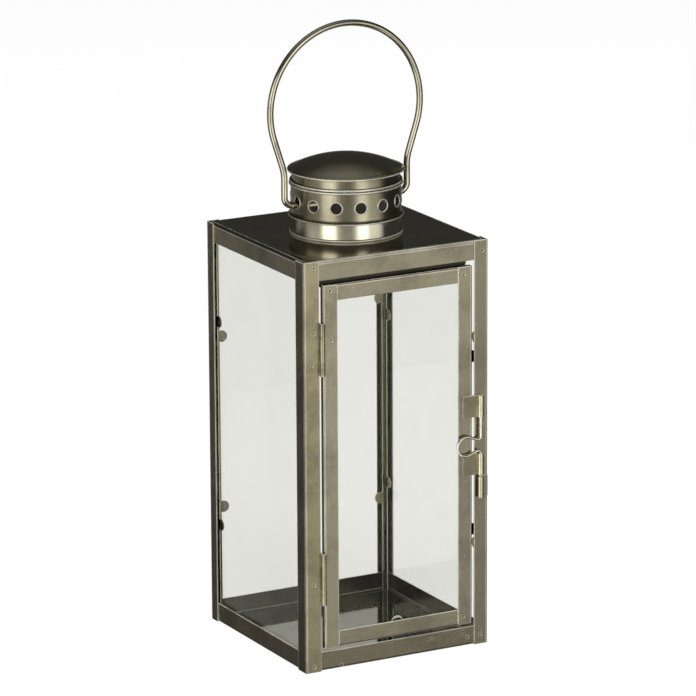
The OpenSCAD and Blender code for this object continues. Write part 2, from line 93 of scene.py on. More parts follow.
class Shade:
    """A socket of a node tree that can be used in a Python expression."""

    def __init__(self, tree: "FinishTree", socket: bpy.types.NodeSocket) -> None:
        """Wraps an output socket with a number, colour, vector or shader."""
        self.tree = tree
        self.socket = socket

    __add__ = _operator("ADD")
    __sub__ = _operator("SUBTRACT")
    __mul__ = _operator("MULTIPLY")
    __truediv__ = _operator("DIVIDE")
    __pow__ = _operator("POWER")
    most = _operator("MAXIMUM")
    least = _operator("MINIMUM")

    def ramp(self, low: float, high: float, at_low: float = 0.0, at_high: float = 1.0) -> "Shade":
        """Smooth step between two values of this one.

        Args:
            low: The value where the step starts.
            high: The value where the step ends.
            at_low: The result before the step.
            at_high: The result after the step.

        Returns:
            The stepped value.
        """
        span = {"From Min": low, "From Max": high, "To Min": at_low, "To Max": at_high}
        settings = {"interpolation_type": "SMOOTHSTEP", "clamp": True}
        return self.tree.node("ShaderNodeMapRange", {"Value": self, **span}, settings)


class FinishTree:
    """A node tree with one generic way of adding nodes."""

    def __init__(self, tree: bpy.types.NodeTree, material: Any = None) -> None:
        """Empties the tree.

        Args:
            tree: The tree of a material or a world.
            material: The material, or None for a world.
        """
        self.tree = tree
        self.material = material
        tree.nodes.clear()

    def node(
        self,
        kind: str,
        inputs: Optional[dict[Any, Any]] = None,
        settings: Optional[dict[str, Any]] = None,
        output: Any = 0,
    ) -> Shade:
        """Adds any node.

        Args:
            kind: The node's type.
            inputs: Values or links for its sockets, by name or number.
            settings: Properties of the node, set first.
            output: Name or number of the output that is wanted.

        Returns:
            The wanted output.
        """
        made = self.tree.nodes.new(kind)
        for name, value in (settings or {}).items():
            setattr(made, name, value)
        for name, value in (inputs or {}).items():
            socket = made.inputs[name]
            if isinstance(value, Shade):
                self.tree.links.new(value.socket, socket)
            elif isinstance(value, tuple) and socket.type == "RGBA":
                socket.default_value = (*value, 1.0)
            else:
                socket.default_value = value
        return Shade(self, made.outputs[output])

    def mix(self, factor: Value, low: Any, high: Any) -> Shade:
        """Mixes two colours.

        Args:
            factor: 0 for the first colour, 1 for the second.
            low: The first colour.
            high: The second colour.

        Returns:
            The mixed colour.
        """
        values = {0: factor, 6: low, 7: high}
        return self.node("ShaderNodeMix", values, {"data_type": "RGBA"}, 2)

    def vector(self, operation: str, first: Shade, second: Any = (0.0, 0.0, 0.0)) -> Shade:
        """Adds a Vector Math node.

        Args:
            operation: The node's operation.
            first: The first vector.
            second: The second vector.

        Returns:
            The vector, or the length for a distance.
        """
        output = "Value" if operation == "DISTANCE" else "Vector"
        values = {0: first, 1: second}
        return self.node("ShaderNodeVectorMath", values, {"operation": operation}, output)

    def place(self) -> Shade:
        """Gives the Object coordinates."""
        return self.node("ShaderNodeTexCoord", output="Object")

    def bump(self, height: Shade) -> Shade:
        """Turns a height in metres into a bumped normal."""
        return self.node("ShaderNodeBump", {"Strength": 1.0, "Distance": 1.0, "Height": height})

    def white(self, kind: str, **values: Any) -> Shade:
        """Adds a plain white shader of the given kind."""
        return self.node(kind, {"Color": (1.0, 1.0, 1.0), **values})

    def to_surface(self, kind: str, values: dict[Any, Any]) -> None:
        """Adds the last shader of a material or world and links it to the output.

        Args:
            kind: The shader node's type.
            values: Values or links for its sockets.
        """
        shader = self.node(kind, values)
        world = isinstance(self.tree.id_data, bpy.types.World)
        out = self.tree.nodes.new(f"ShaderNodeOutput{'World' if world else 'Material'}")
        self.tree.links.new(shader.socket, out.inputs["Surface"])

    def noise(self, place: Shade, size: float, detail: float = 3.0, rough: float = 0.55) -> Shade:
        """Adds a noise of a given size of feature.

        Args:
            place: The coordinates.
            size: Size of a feature, in metres.
            detail: Octaves.
            rough: Strength of the finer octaves.

        Returns:
            A value about 0.5.
        """
        values = {"Vector": place, "Scale": 1.0 / size, "Detail": detail, "Roughness": rough}
        return self.node("ShaderNodeTexNoise", values)


# Finishes


def new_material(name: str, tone: Colour = (1.0, 1.0, 1.0), alpha: float = 1.0) -> FinishTree:
    """Makes a material with an empty tree.

    Args:
        name: The material's name.
        tone: Its colour in the viewport.
        alpha: Its opacity there.

    Returns:
        The tree, whose material is its `material`.
    """
    made = bpy.data.materials.new(name)
    made.use_nodes = True
    made.diffuse_color = (*tone, alpha)
    return FinishTree(made.node_tree, made)


@dataclass(frozen=True)
class MetalFinish:
    """A metal surface with patina, fine marks and specks.

    Args:
        name: Name of the finish.
        tone: Colour of the plain surface.
        shadow: Colour of the darker patina.
        worn: Colour where it is rubbed.
        rough: Roughness of the plain surface.
        rough_spread: How much the roughness varies.
        patina: How much of the darker patina shows, from 0 to 1.
        rubbed: How much of the rubbed colour shows, from 0 to 1.
        marks: Direction of the fine marks.
        mark_depth: Depth of the fine marks, in metres.
        sway: Depth of the slow waviness of the sheet, in metres.
        metal: 1 for bare metal, less where grime or burrs scatter the light.
    """

    name: str
    tone: Colour
    shadow: Colour
    worn: Colour
    rough: float = 0.30
    rough_spread: float = 0.08
    patina: float = 0.5
    rubbed: float = 0.2
    marks: Axis = Axis.NONE
    mark_depth: float = 2.5e-6
    sway: float = 4.0e-5
    metal: float = 1.0

    def material(self, label: str, welds: Spots = ()) -> Material:
        """Makes the material.

        Args:
            label: Added to the finish's name.
            welds: X and Z in millimetres of spot welds on a face towards the front.

        Returns:
            The material.
        """
        t = new_material(f"{self.name}_{label}", self.tone)
        place = t.place()
        along = t.vector("MULTIPLY", place, self.marks.value)
        cloud = t.noise(place, 0.022, 4.0)
        blotch = t.noise(place, 0.006, 4.0, 0.6)
        grain = t.noise(along, 0.0006, 2.0)
        fine = t.noise(along, 0.00022, 2.0)
        specks = t.noise(place, 0.0011, 2.0).ramp(0.68, 0.76)
        slow = t.noise(place, 0.035, 1.0)

        darker = (cloud * 0.6 + blotch * 0.4).ramp(0.42, 0.66) * self.patina
        rubbed = (blotch * 0.55 + grain * 0.45).ramp(0.50, 0.72) * self.rubbed
        colour = t.mix(darker, self.tone, self.shadow)
        colour = t.mix(rubbed, colour, self.worn)
        colour = t.mix(specks * 0.4, colour, self.shadow)

        rough = (cloud - 0.5) * (self.rough_spread * 2.0) + (grain - 0.5) * self.rough_spread
        rough = (rough + self.rough + specks * 0.08).most(0.04)

        height = grain * self.mark_depth + fine * (self.mark_depth * 0.5) + slow * self.sway
        height = height - specks * (self.mark_depth * 1.5)
        if welds:
            sink, ring = self._dimples(t, place, welds)
            height = height - sink * 1.2e-4 + ring * 3.5e-5
            # The weld's sink is painted darker as shade in the hollow, and its ring lighter as
            # painted highlight.
            colour = t.mix(sink * 0.35, colour, self.shadow)
            colour = t.mix(ring * 0.5, colour, self.worn)
        values = {"Base Color": colour, "Metallic": self.metal, "Roughness": rough}
        t.to_surface("ShaderNodeBsdfPrincipled", {**values, "Normal": t.bump(height)})
        return t.material

    @staticmethod
    def _dimples(
        t: FinishTree, place: Shade, welds: Spots
    ) -> tuple[Shade, Shade]:
        """Small round sinks with a raised ring at spot welds.

        Args:
            t: The tree.
            place: The coordinates.
            welds: X and Z in millimetres.

        Returns:
            The sink and the ring, each 1 where it is strongest.
        """
        flat = t.vector("MULTIPLY", place, (1.0, 0.0, 1.0))
        nearest, *others = [t.vector("DISTANCE", flat, (x * MM, 0.0, z * MM)) for x, z in welds]
        for away in others:
            nearest = nearest.least(away)
        sink = nearest.ramp(0.0003, 0.0010, 1.0, 0.0)
        ring = nearest.ramp(0.0007, 0.0011) * nearest.ramp(0.0011, 0.0015, 1.0, 0.0)
        return sink, ring


@dataclass(frozen=True)
class GlassFinish:
    """Clear float glass, faintly wavy and smeared.

    Args:
        name: Name of the finish.
        tint: Colour of the glass.
        smeared: Colour where it is smeared.
        rough: Roughness of its faces.
        wave: Depth of the waviness, in metres.
        ior: Index of refraction. Real glass has 1.5; this is lower, for the weak mirror
            images that the photograph shows in this studio.
    """

    name: str
    tint: Colour
    smeared: Colour
    rough: float = 0.0
    wave: float = 2.0e-6
    ior: float = 1.2

    def material(self, label: str) -> Material:
        """Makes the material, which lets the light of lamps through.

        Args:
            label: Added to the finish's name.

        Returns:
            The material.
        """
        t = new_material(f"{self.name}_{label}", self.tint, 0.3)
        place = t.place()
        smear = (t.noise(place, 0.03, 3.0) * 0.6 + t.noise(place, 0.004, 3.0) * 0.4).ramp(0.45, 0.7)
        values = {
            "Base Color": t.mix(smear, self.tint, self.smeared),
            "Roughness": self.rough,
            "IOR": self.ior,
            "Transmission Weight": 1.0,
            "Normal": t.bump(t.noise(place, 0.03, 1.0) * self.wave),
        }
        shader = t.node("ShaderNodeBsdfPrincipled", values)
        shadow = t.node("ShaderNodeLightPath", output="Is Shadow Ray")
        clear = t.node("ShaderNodeBsdfTransparent", {"Color": (0.92, 0.94, 0.92)})
        t.to_surface("ShaderNodeMixShader", {0: shadow, 1: shader, 2: clear})
        return t.material


BRONZE = MetalFinish(
    "antique_bronze", (0.419, 0.384, 0.272), (0.256, 0.234, 0.160),
    (0.800, 0.752, 0.560), rough=0.28, patina=0.75, rubbed=0.35, marks=Axis.Z,
)
# Lighter copy of the bronze for the front left post: painted light.
BRONZE_POST_LIT = replace(BRONZE, name="antique_bronze_post_painted_light", tone=(0.488, 0.435, 0.272))
# Darker copy of the bronze for the posts' faces towards the left and their level ends: painted
# shade.
BRONZE_SHADED_SIDE = replace(
    BRONZE, name="antique_bronze_left_painted_shade", tone=(0.240, 0.219, 0.155), shadow=(0.147, 0.133, 0.093)
)
# Lighter copy of the bronze for the door's hinge stile: painted light.
BRONZE_PAINTED_LIGHT = replace(BRONZE, name="antique_bronze_painted_light", tone=(0.496, 0.456, 0.328))
# Darker copy of the bronze for the front right post: painted shade.
BRONZE_PAINTED_SHADE = replace(BRONZE, name="antique_bronze_painted_shade", tone=(0.336, 0.312, 0.216))
BRONZE_FLAT = replace(BRONZE, name="antique_bronze_across", marks=Axis.X)
BRONZE_TOP = replace(BRONZE_FLAT, name="antique_bronze_top", tone=(0.415, 0.382, 0.272))
# Darker copy of the bronze for the base rim: painted shade.
BRONZE_LOW_PAINTED_SHADE = replace(
    BRONZE_FLAT, name="antique_bronze_low_painted_shade", tone=(0.310, 0.275, 0.192), shadow=(0.200, 0.176, 0.122)
)
DARK_BRONZE = MetalFinish(
    "dark_bronze", (0.560, 0.536, 0.384), (0.384, 0.360, 0.248),
    (0.800, 0.752, 0.576), rough=0.12, rough_spread=0.04, sway=7.0e-5,
)
# Darker bronze for faces towards the inside of the case and for the corner strips: painted shade.
INNER_PAINTED_SHADE = MetalFinish(
    "inner_bronze_painted_shade", (0.210, 0.190, 0.122), (0.152, 0.138, 0.090),
    (0.512, 0.480, 0.336), rough=0.24, rough_spread=0.06, patina=0.7,
)
MIRROR_FLOOR = MetalFinish(
    "polished_floor", (0.400, 0.378, 0.320), (0.256, 0.240, 0.198),
    (0.640, 0.608, 0.512), rough=0.07, rough_spread=0.03, rubbed=0.1, sway=2.0e-5,
)
# Near-black for the door stop, the sides of the door's stiles and rails, and the chimney's inside:
# painted shade.
NEAR_BLACK_SHADE = MetalFinish(
    "near_black_painted_shade", (0.060, 0.055, 0.042), (0.025, 0.022, 0.018),
    (0.16, 0.14, 0.10), rough=0.45,
)
CHIMNEY_BRONZE = MetalFinish(
    "collar_bronze", (0.704, 0.664, 0.512), (0.416, 0.384, 0.272),
    (0.930, 0.930, 0.752), rough=0.15, rough_spread=0.05, patina=0.6, rubbed=0.3, marks=Axis.Z,
)
BAND_BRONZE = replace(
    CHIMNEY_BRONZE, name="band_bronze", tone=(0.344, 0.314, 0.221), shadow=(0.192, 0.176, 0.120),
    worn=(0.672, 0.624, 0.480), rough=0.24,
)
# Bright edge finish: wear together with painted highlight on softened edges, edge bands, bead crests
# and vent rims.
WORN_EDGE_AND_HIGHLIGHT = MetalFinish(
    "worn_edge_painted_highlight", (0.74, 0.71, 0.60), (0.34, 0.31, 0.22), (0.90, 0.88, 0.80),
    rough=0.30, patina=0.7, rubbed=0.6, sway=0.0, metal=0.55,
)
CUT_EDGE = MetalFinish(
    "cut_edge", (0.66, 0.63, 0.52), (0.30, 0.27, 0.20), (0.88, 0.86, 0.78),
    rough=0.42, patina=0.8, rubbed=0.7, mark_depth=6.0e-6, sway=0.0, metal=0.35,
)
FITTING_BRASS = MetalFinish(
    "fitting_brass", (0.480, 0.435, 0.288), (0.176, 0.157, 0.099),
    (0.930, 0.930, 0.768), rough=0.26, patina=0.9, rubbed=0.5, marks=Axis.Z, mark_depth=6.0e-6,
    sway=1.0e-5,
)
LATCH_BRASS = replace(
    FITTING_BRASS, name="latch_brass", tone=(0.832, 0.776, 0.544), shadow=(0.384, 0.352, 0.224),
    worn=(0.930, 0.930, 0.930), patina=0.6,
)
LATCH_WIRE = replace(
    LATCH_BRASS, name="latch_wire", tone=(0.896, 0.864, 0.720), marks=Axis.NONE, rough=0.22
)
PLATE_BRASS = MetalFinish(
    "latch_plate_bronze", (0.376, 0.339, 0.240), (0.208, 0.186, 0.125),
    (0.736, 0.672, 0.496), rough=0.33, patina=0.8, rubbed=0.4, mark_depth=6.0e-6, sway=2.0e-5,
)
PIN_STEEL = MetalFinish(
    "pin_steel", (0.544, 0.512, 0.416), (0.288, 0.256, 0.192),
    (0.930, 0.930, 0.832), rough=0.28, sway=0.0,
)
HANDLE_WIRE = MetalFinish(
    "plated_wire", (0.576, 0.544, 0.408), (0.288, 0.264, 0.184),
    (0.930, 0.930, 0.832), rough=0.18, patina=0.7, rubbed=0.5, mark_depth=5.0e-6, sway=0.0,
)
PANE_GLASS = GlassFinish("float_glass", (0.872, 0.877, 0.850), (0.856, 0.861, 0.832))
GLASS_EDGE = GlassFinish("glass_edge", (0.46, 0.62, 0.52), (0.36, 0.50, 0.42), rough=0.25)


# Tools


def deselect() -> None:
    """Leaves edit mode and deselects everything."""
    if bpy.context.object and bpy.context.object.mode != "OBJECT":
        bpy.ops.object.mode_set(mode="OBJECT")
    bpy.ops.object.select_all(action="DESELECT")


def pick(piece: Piece) -> None:
    """Makes one piece the only selected and the active one."""
    deselect()
    piece.select_set(True)
    bpy.context.view_layer.objects.active = piece


def newest(name: str) -> Piece:
    """Names the piece that an operator has just added."""
    piece = bpy.context.view_layer.objects.active
    piece.name = name
    piece.data.name = name
    return piece


def apply_modifiers(piece: Piece) -> None:
    """Applies all modifiers of a piece in their order."""
    pick(piece)
    for modifier in list(piece.modifiers):
        bpy.ops.object.modifier_apply(modifier=modifier.name)


def smooth(piece: Piece, degrees: float = 32.0, weighted: bool = False) -> None:
    """Shades a piece smooth up to an angle.

    Args:
        piece: The piece.
        degrees: Edges sharper than this stay sharp.
        weighted: True to let large flat faces keep their own normals.
    """
    pick(piece)
    bpy.ops.object.shade_smooth_by_angle(angle=math.radians(degrees))
    if weighted:
        modifier = piece.modifiers.new("weighted", "WEIGHTED_NORMAL")
        modifier.mode = "FACE_AREA"
        modifier.weight = 80
        modifier.keep_sharp = True
        apply_modifiers(piece)


def dressed(node: str, *materials: Material) -> Piece:
    """Copies a CAD node and gives the copy its materials.

    Args:
        node: The CAD node.
        materials: The materials, in the order of their slots.

    Returns:
        The copy.
    """
    made = copy_of_node(node, f"{node}_dressed")
    put_on(made, *materials)
    return made


def put_on(piece: Piece, *materials: Material) -> None:
    """Gives a piece its materials, and no others."""
    piece.data.materials.clear()
    for material in materials:
        piece.data.materials.append(material)


def recolour(
    piece: Piece,
    target: "Region",
    chosen: Callable[[bpy.types.MeshPolygon], bool],
    source: Optional["Region"] = None,
) -> None:
    """Moves the faces that a test picks to another region.

    Args:
        piece: The piece.
        target: The region that they get.
        chosen: Tests a face.
        source: The region that they must have, or None for any.
    """
    for face in piece.data.polygons:
        if source is not None and face.material_index != source:
            continue
        if chosen(face):
            face.material_index = target


def hand_over(piece: Piece, node: str, body: str) -> None:
    """Lets a finished piece stand for a CAD node.

    Args:
        piece: The piece.
        node: The CAD node.
        body: The body that it rides on.
    """
    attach(piece, body)
    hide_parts(node)
    log.info("%s: %d faces on %s", node, len(piece.data.polygons), body)


def copy_of_node(node: str, name: str) -> Piece:
    """Copies a CAD node as a merged mesh of its own.

    Args:
        node: The CAD node's name.
        name: The new piece's name.

    Returns:
        The copy, at the origin and with its flat faces whole.
    """
    pick(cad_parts[node])
    bpy.ops.object.duplicate()
    piece = newest(name)
    piece.parent = None
    piece.matrix_world = Matrix.Identity(4)
    for key in list(piece.keys()):
        del piece[key]
    pick(piece)
    if piece.data.has_custom_normals:
        bpy.ops.mesh.customdata_custom_splitnormals_clear()
    bpy.ops.object.mode_set(mode="EDIT")
    bpy.ops.mesh.select_all(action="SELECT")
    bpy.ops.mesh.remove_doubles(threshold=2.0e-6)
    bpy.ops.mesh.dissolve_limited(angle_limit=math.radians(0.25))
    bpy.ops.object.mode_set(mode="OBJECT")
    return piece


def width(face: bpy.types.MeshPolygon, mesh: bpy.types.Mesh) -> float:
    """Gives the width of a long or ring-shaped face, in metres.

    Args:
        face: The face.
        mesh: Its mesh.

    Returns:
        Twice the face's area over its outline's length.
    """
    corners = [mesh.vertices[v].co for v in face.vertices]
    outline = sum((a - b).length for a, b in zip(corners, corners[1:] + corners[:1]))
    return 2.0 * face.area / outline if outline else 0.0


def arc(
    centre: tuple[float, float], radius: float, start: float, end: float, count: int
) -> list[tuple[float, float]]:
    """Points of an arc in an outline.

    Args:
        centre: Radius and height of the arc's centre.
        radius: The arc's radius.
        start: First angle in degrees, from outwards towards up.
        end: Last angle in degrees.
        count: Number of points.

    Returns:
        The points, as pairs of a radius and a height.
    """
    angles = [math.radians(start + (end - start) * i / (count - 1)) for i in range(count)]
    return [(centre[0] + radius * math.cos(a), centre[1] + radius * math.sin(a)) for a in angles]


def turned(name: str, outline: Spots, degrees: float) -> Piece:
    """Spins a closed outline about the Z axis.

    Args:
        name: The piece's name.
        outline: Pairs of a radius and a height, in metres, in order.
        degrees: Edges sharper than this stay sharp.

    Returns:
        The turned piece.
    """
    deselect()
    bpy.ops.mesh.primitive_plane_add(size=0.001)
    piece = newest(name)
    bpy.ops.object.mode_set(mode="EDIT")
    bpy.ops.mesh.select_mode(type="VERT")
    bpy.ops.mesh.select_all(action="SELECT")
    bpy.ops.mesh.merge(type="CENTER")
    bpy.ops.transform.translate(value=(outline[0][0], 0.0, outline[0][1]))
    for here, there in zip(outline, [*outline[1:], outline[0]]):
        step = (there[0] - here[0], 0.0, there[1] - here[1])
        bpy.ops.mesh.extrude_region_move(TRANSFORM_OT_translate={"value": step})
    bpy.ops.mesh.select_all(action="SELECT")
    bpy.ops.mesh.remove_doubles(threshold=1.0e-7)
    bpy.ops.mesh.spin(steps=SPIN_STEPS, angle=math.tau, center=(0, 0, 0), axis=(0, 0, 1))
    bpy.ops.mesh.select_all(action="SELECT")
    bpy.ops.mesh.remove_doubles(threshold=1.0e-6)
    bpy.ops.mesh.normals_make_consistent(inside=False)
    bpy.ops.object.mode_set(mode="OBJECT")
    smooth(piece, degrees)
    return piece


@dataclass(frozen=True)
class Dress:
    """The materials of one sheet metal piece, by region.

    Args:
        face: The outer faces.
        edge: Softened and rubbed edges, brightened as wear and painted highlight.
        cut: Cut edges of the sheet.
        inner: Faces towards the inside of the lantern, which the case, door and chimney paint darker
            as shade.
        level: Level faces that mirror what stands on them, or None for the inner one. On the posts
            this slot holds painted shade, for level faces and faces towards the left.
    """

    face: Material
    edge: Material
    cut: Material
    inner: Material
    level: Optional[Material] = None

    def put_on(self, piece: Piece) -> None:
        """Gives a piece its materials, in the order of Region."""
        put_on(piece, self.face, self.edge, self.cut, self.inner, self.level or self.inner)


@dataclass(frozen=True)
class SheetWork:
    """Softens and dresses the copies of sheet metal pieces.

    Args:
        soft: Width of the softened edges, in metres.
        segments: Segments across a softened edge.
        sharp: Edges sharper than this are softened, in degrees.
        thin: Least and greatest width of a cut edge's face, in metres.
        wear_and_highlight_band: Width of the band of wear and painted highlight beside an edge in
            metres, 0 for none.
        wide: Least width of a face that gets a band of wear and painted highlight, in metres.
        middle: Half of the case's height, in metres.
        downwards: Below this height, a direction away from an edge points down.
        stray: A softened point further from the sheet than this many widths is brought back.
    """

    soft: float = 0.00011
    segments: int = 2
    sharp: float = 40.0
    thin: tuple[float, float] = (0.00045, 0.00135)
    wear_and_highlight_band: float = 0.00056
    wide: float = 0.0024
    middle: float = 0.12
    downwards: float = -0.5
    stray: float = 2.0

    def piece(
        self,
        node: str,
        dress: Dress,
        body: str = "frame",
        slot: str = "bronze_sheet",
        inside: bool = True,
    ) -> Piece:
        """Makes the dressed piece that stands for a CAD node.

        Args:
            node: The CAD node.
            dress: Its materials.
            body: The body that it rides on.
            slot: The record's material slot. Not used.
            inside: True to give the faces towards the lantern's axis the inner finish.

        Returns:
            The piece.
        """
        made = copy_of_node(node, f"{node}_dressed")
        dress.put_on(made)
        self._mark(made, inside)
        if self.wear_and_highlight_band > 0.0:
            self._wear_and_highlight_edges(made)
        bevel = made.modifiers.new("soft_edges", "BEVEL")
        bevel.width = self.soft
        bevel.segments = self.segments
        bevel.limit_method = "ANGLE"
        bevel.angle_limit = math.radians(self.sharp)
        # Every softened edge gets the bright edge finish: wear and painted highlight.
        bevel.material = Region.EDGE
        bevel.use_clamp_overlap = False
        corners = [vertex.co.copy() for vertex in made.data.vertices]
        outlines = [face.vertices[:] for face in made.data.polygons]
        surface = BVHTree.FromPolygons(corners, outlines)
        apply_modifiers(made)
        for vertex in made.data.vertices:
            spot, _, _, distance = surface.find_nearest(vertex.co)
            if distance > self.stray * self.soft:
                vertex.co = spot
        smooth(made, weighted=True)
        hand_over(made, node, body)
        return made

    def _mark(self, piece: Piece, inside: bool) -> None:
        """Sorts the faces by region.

        Args:
            piece: The piece.
            inside: True to look for faces towards the lantern's axis.
        """
        low, high = self.thin
        for face in piece.data.polygons:
            centre, normal = face.center, face.normal
            inward = centre.x * normal.x + centre.y * normal.y < -0.02
            level = abs(normal.z) > 0.9 and (normal.z > 0.0 or centre.z > self.middle)
            if low <= width(face, piece.data) <= high:
                face.material_index = Region.CUT
            elif inside and level:
                face.material_index = Region.LEVEL
            elif inside and inward:
                face.material_index = Region.INNER
            else:
                face.material_index = Region.FACE

    def _wear_and_highlight_edges(self, piece: Piece) -> None:
        """Insets a narrow band along the edges and brightens it, as wear and painted highlight.

        Outer faces are brightened at their tops and sides, where light catches them, inner ones in
        the fold below.

        Args:
            piece: The piece.
        """
        pick(piece)
        bpy.ops.object.mode_set(mode="EDIT")
        bpy.ops.mesh.select_mode(type="FACE")
        bpy.ops.mesh.select_all(action="DESELECT")
        bpy.ops.object.mode_set(mode="OBJECT")
        chosen = 0
        for face in piece.data.polygons:
            cut = face.material_index == Region.CUT
            face.select = not cut and width(face, piece.data) > self.wide
            chosen += face.select
        if not chosen:
            return
        bpy.ops.object.mode_set(mode="EDIT")
        bpy.ops.mesh.inset(thickness=self.wear_and_highlight_band, use_boundary=True, use_even_offset=False)
        bpy.ops.object.mode_set(mode="OBJECT")
        inner = [face for face in piece.data.polygons if face.select]
        edges = {key for face in inner for key in face.edge_keys}
        for face in piece.data.polygons:
            shared = [key for key in face.edge_keys if key in edges]
            cut = face.material_index == Region.CUT
            if face.select or cut or len(shared) != 1:
                continue
            first, second = (piece.data.vertices[v].co for v in shared[0])
            outwards = (face.center - (first + second) / 2.0).normalized()
            inside = face.material_index == Region.INNER
            if (outwards.z < self.downwards) == inside:
                face.material_index = Region.EDGE


def dress_wire(node: str, material: Material, body: str) -> None:
    """Makes a smooth copy of a wire or pin that stands for its CAD node.

    Args:
        node: The CAD node.
        material: Its material.
        body: The body that it rides on.
    """
    made = dressed(node, material)
    smooth(made, 36.0)
    hand_over(made, node, body)


# Sub-assemblies


@dataclass(frozen=True)
class Case:
    """The folded trays, corner posts, corner strips and door stop.

    Args:
        work: How sheet pieces are softened.
        left_welds: Spot welds of the front left post, X and Z in millimetres.
        right_welds: Spot welds of the front right post.
        base_welds: Spot welds of the base rim.
    """

    work: SheetWork = SheetWork()
    left_welds: Spots = (
        (-53.1, 239.0),
        (-53.6, 201.0),
        (-54.7, 182.8),
        (-54.5, 52.3),
        (-54.5, 3.0),
    )
    right_welds: Spots = ((55.3, 5.5), (56.2, 236.4))
    base_welds: Spots = ((-36.4, 1.6), (47.0, 5.0))

    def build(self) -> None:
        """Builds and dresses the case."""
        edge = WORN_EDGE_AND_HIGHLIGHT.material("case")
        cut = CUT_EDGE.material("case")
        # Faces inside the case and the whole corner strips get darker bronze as painted shade.
        inner = INNER_PAINTED_SHADE.material("case")
        # The posts' faces towards the left get a darker copy of the bronze as painted shade.
        side = BRONZE_SHADED_SIDE.material("posts")
        plain = Dress(BRONZE.material("posts"), edge, cut, inner, side)
        # The front left post gets a lighter copy of the bronze as painted light, the front right
        # post a darker copy as painted shade.
        left = Dress(BRONZE_POST_LIT.material("post_left", self.left_welds), edge, cut, inner, side)
        right = Dress(BRONZE_PAINTED_SHADE.material("post_right", self.right_welds), edge, cut, inner)
        # The base rim gets a darker copy of the bronze: painted shade.
        rim = BRONZE_LOW_PAINTED_SHADE.material("base_rim", self.base_welds)
        base = Dress(rim, edge, cut, inner, MIRROR_FLOOR.material("base"))
        roof = Dress(BRONZE_TOP.material("roof_rim"), edge, cut, inner, DARK_BRONZE.material("roof"))
        strip = Dress(inner, edge, cut, inner)
        posts = {"front_left": left, "front_right": right, "rear_left": plain, "rear_right": plain}
        for corner, dress in posts.items():
            post = self.work.piece(f"post_{corner}", dress)
            # Faces towards the left take the painted shade of the side.
            recolour(post, Region.LEVEL, lambda face: face.normal.x < -0.7, Region.FACE)
            self.work.piece(f"strip_{corner}", strip)
        self.work.piece("base_tray", base)
        # The door stop is painted near-black as the shade in the gap behind the door.
        dark = NEAR_BLACK_SHADE.material("door_stop")
        self.work.piece("door_stop", Dress(dark, cut, cut, dark))
        tray = self.work.piece("roof_tray", roof, slot="dark_sheet")
        # Faces of the roof's fold towards the front and up get the bright edge finish as painted
        # highlight.
        recolour(tray, Region.EDGE, lambda f: 0.35 < f.normal.z < 0.92 and f.normal.y < -0.2)


@dataclass(frozen=True)
class Glazing:
    """The three fixed panes and the door's pane.

    Args:
        soft: Width of the ground corners, in metres.
        thick: More than the thickness of a pane, in metres.
    """

    soft: float = 0.0002
    thick: float = 0.004

    def build(self) -> None:
        """Dresses all four panes."""
        clear = PANE_GLASS.material("panes")
        ground = GLASS_EDGE.material("panes")
        for node in ("pane_left", "pane_right", "pane_rear", "door_glass"):
            made = dressed(node, clear, ground)
            for face in made.data.polygons:
                face.material_index = int(width(face, made.data) < self.thick)
            bevel = made.modifiers.new("ground_edges", "BEVEL")
            bevel.width = self.soft
            bevel.segments = 1
            bevel.limit_method = "ANGLE"
            bevel.material = 1
            apply_modifiers(made)
            hand_over(made, node, "door" if node == "door_glass" else "frame")


@dataclass(frozen=True)
class Door:
    """The door's two stiles and two rails.

    Args:
        work: How sheet pieces are softened.
        hinge_welds: Spot welds of the hinge stile, X and Z in millimetres.
        latch_welds: Spot welds of the latch stile.
    """

    work: SheetWork = SheetWork()
    hinge_welds: Spots = ((-43.0, 225.0), (-42.6, 196.0))
    latch_welds: Spots = ((43.6, 18.4), (44.0, 224.0))

    def build(self) -> None:
        """Builds and dresses the door's frame."""
        edge = WORN_EDGE_AND_HIGHLIGHT.material("door")
        cut = CUT_EDGE.material("door")
        # Inner faces and the sides of stiles and rails, in the gaps, are painted near-black as
        # shade.
        inner = NEAR_BLACK_SHADE.material("door")
        # The hinge stile gets a lighter copy of the bronze: painted light.
        hinge = BRONZE_PAINTED_LIGHT.material("door_stile_hinge", self.hinge_welds)
        latch = BRONZE.material("door_stile_latch", self.latch_welds)
        rails = BRONZE_FLAT.material("door_rails")
        faces = {"stile_hinge": hinge, "stile_latch": latch, "rail_top": rails, "rail_bottom": rails}
        for name, face in faces.items():
            dress = Dress(face, edge, cut, inner)
            piece = self.work.piece(f"door_{name}", dress, "door")
            # Sides of stiles and rails take the near-black painted shade.
            recolour(piece, Region.INNER, lambda face: abs(face.normal.y) < 0.3, Region.FACE)


